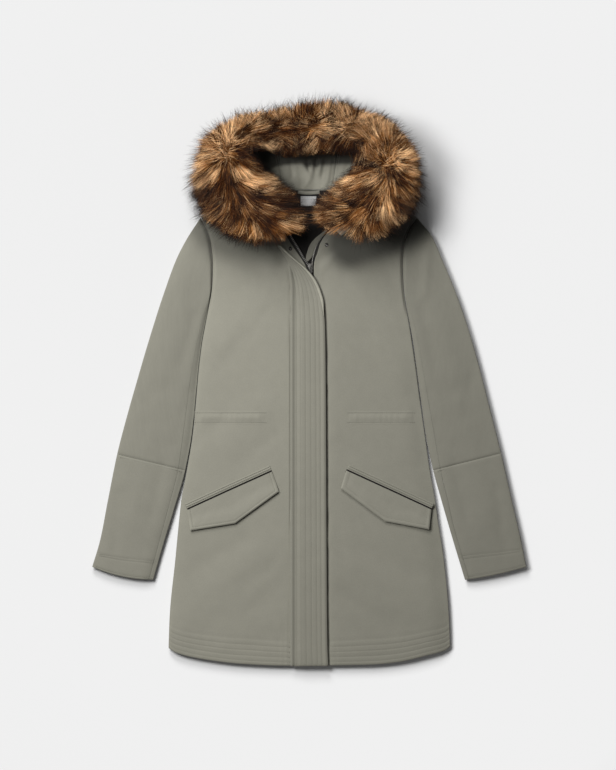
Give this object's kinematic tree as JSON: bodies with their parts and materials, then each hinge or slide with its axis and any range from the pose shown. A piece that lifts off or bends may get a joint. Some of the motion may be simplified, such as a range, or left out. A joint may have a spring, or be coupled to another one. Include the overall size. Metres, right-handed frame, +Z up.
{
  "type": "fur trimmed parka",
  "caption": "Hooded thigh-length parka laid flat on its back, fronts closed by a zip under a storm flap, with flap pockets and a wide fur trim round the open hood.",
  "frame": {"origin": "centre of the parka's box, on the surface that it lies on", "axes": "+Z up out of the surface through the fronts, +Y from the hem to the hood, +X to the side of the wearer's left arm"},
  "size_m": [0.782, 1.0222, 0.1051],
  "materials": {
    "shell_cloth": "matte tight cotton twill, olive grey",
    "lining": "dark smooth lining",
    "label": "pale woven satin, bare",
    "fur": "long brown fur with dark roots and pale tips",
    "zip_tape": "dark woven tape with metal teeth",
    "metal": "dark nickel"
  },
  "bodies": {
    "parka": {"back": "shell_cloth", "front_left": "shell_cloth", "front_right": "shell_cloth", "sleeve_left_upper_top": "shell_cloth", "sleeve_left_upper_under": "shell_cloth", "sleeve_left_lower_top": "shell_cloth", "sleeve_left_lower_under": "shell_cloth", "sleeve_right_upper_top": "shell_cloth", "sleeve_right_upper_under": "shell_cloth", "sleeve_right_lower_top": "shell_cloth", "sleeve_right_lower_under": "shell_cloth", "storm_flap": "shell_cloth", "pocket_flap_left": "shell_cloth", "pocket_flap_right": "shell_cloth", "pocket_welt_left": "shell_cloth", "pocket_welt_right": "shell_cloth", "hood_left": "shell_cloth", "hood_centre": "shell_cloth", "hood_right": "shell_cloth", "fur_left_end": "fur", "fur_left_side": "fur", "fur_crown": "fur", "fur_right_side": "fur", "fur_right_end": "fur", "neck_lining": "lining", "hanger_loop": "shell_cloth", "neck_label": "label", "zip_guard": "shell_cloth", "zip_tape_left": "zip_tape", "zip_tape_right": "zip_tape", "zip_slider": "metal", "snap_left": "metal", "snap_right": "metal"},
    "pull_tab": {"zip_pull": "metal"}
  },
  "joints": [
    {"name": "pull_tab_hinge", "type": "hinge", "parent": "parka", "child": "pull_tab", "pos_m": [0.0036, 0.208, 0.01405], "axis": [-1, 0, 0], "range_deg": [0, 150]}
  ]
}
